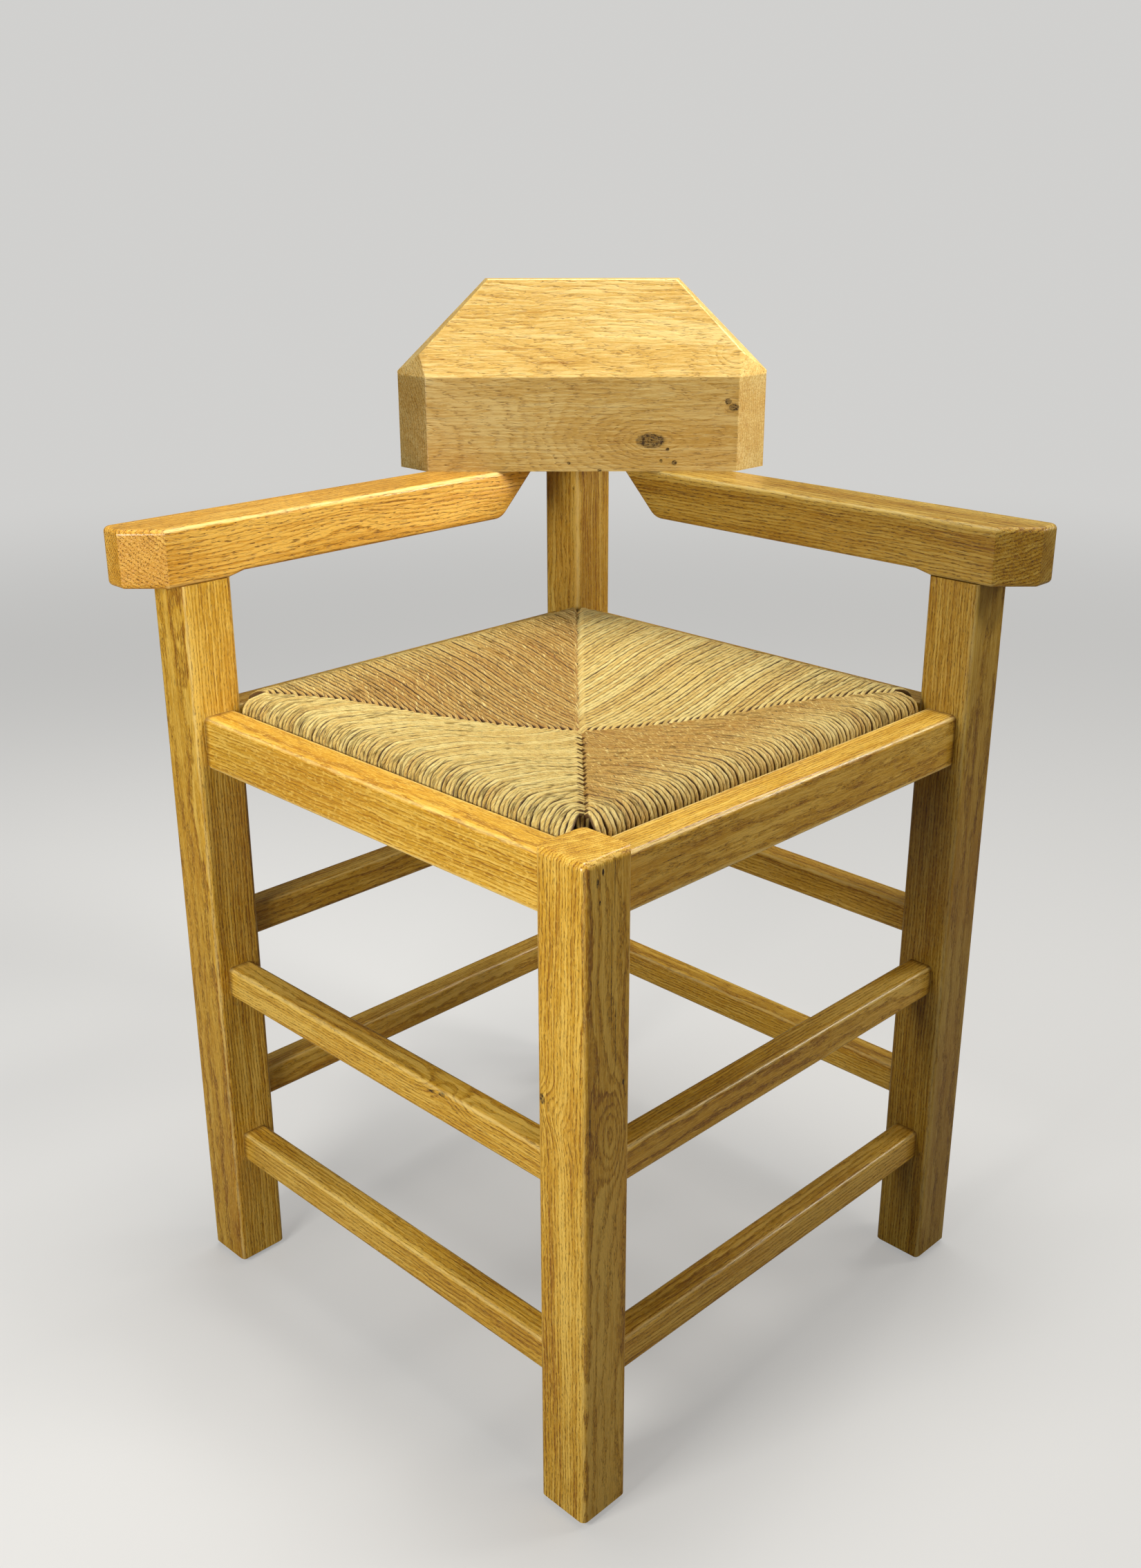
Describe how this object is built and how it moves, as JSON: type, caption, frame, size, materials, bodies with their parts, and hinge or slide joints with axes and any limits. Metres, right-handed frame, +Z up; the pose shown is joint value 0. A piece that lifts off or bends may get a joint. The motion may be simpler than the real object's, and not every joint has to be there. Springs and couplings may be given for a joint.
{
  "type": "corner chair",
  "caption": "Square oak corner chair: legs at the front, sides and rear, flat arms, a leaning corner backrest and a lift-out woven rush seat.",
  "frame": {"origin": "on the floor under the middle of the square of legs", "axes": "+Z up; the sitter faces -Y, with the front leg at -Y, the backrest and rear leg at +Y and the side legs at -X and +X"},
  "size_m": [0.6334, 0.5836, 0.7305],
  "materials": {
    "oak_leg": "satin lacquer",
    "oak_rail": "satin lacquer",
    "oak_arm": "satin lacquer",
    "oak_back": "satin lacquer",
    "dowel_beech": "bare",
    "plain_softwood": "bare sawn",
    "pin_steel": "plated",
    "glide_black": "matt",
    "rush": "twisted rush",
    "rush_stuffing": "loose dry rush"
  },
  "bodies": {
    "chair": {"front_leg": "oak_leg", "right_leg": "oak_leg", "rear_leg": "oak_leg", "left_leg": "oak_leg", "front_right_seat_rail": "oak_rail", "front_right_lower_stretcher": "oak_rail", "front_right_upper_stretcher": "oak_rail", "back_right_seat_rail": "oak_rail", "back_right_lower_stretcher": "oak_rail", "back_right_upper_stretcher": "oak_rail", "back_left_seat_rail": "oak_rail", "back_left_lower_stretcher": "oak_rail", "back_left_upper_stretcher": "oak_rail", "front_left_seat_rail": "oak_rail", "front_left_lower_stretcher": "oak_rail", "front_left_upper_stretcher": "oak_rail", "right_arm": "oak_arm", "left_arm": "oak_arm", "backrest": "oak_back", "corner_block": "oak_back", "arm_dowels": "dowel_beech", "backrest_dowels": "dowel_beech", "front_right_cleat": "plain_softwood", "back_right_cleat": "plain_softwood", "back_left_cleat": "plain_softwood", "front_left_cleat": "plain_softwood", "cleat_pins": "pin_steel", "front_glide": "glide_black", "right_glide": "glide_black", "rear_glide": "glide_black", "left_glide": "glide_black"},
    "drop_in_seat": {"seat_frame_front_right": "plain_softwood", "seat_frame_back_right": "plain_softwood", "seat_frame_back_left": "plain_softwood", "seat_frame_front_left": "plain_softwood", "rush_cover": "rush", "rush_stuffing": "rush_stuffing"}
  },
  "joints": [
    {"name": "seat_lift", "type": "slide", "parent": "chair", "child": "drop_in_seat", "axis": [0, 0, 1], "range_m": [0, 0.07]}
  ]
}
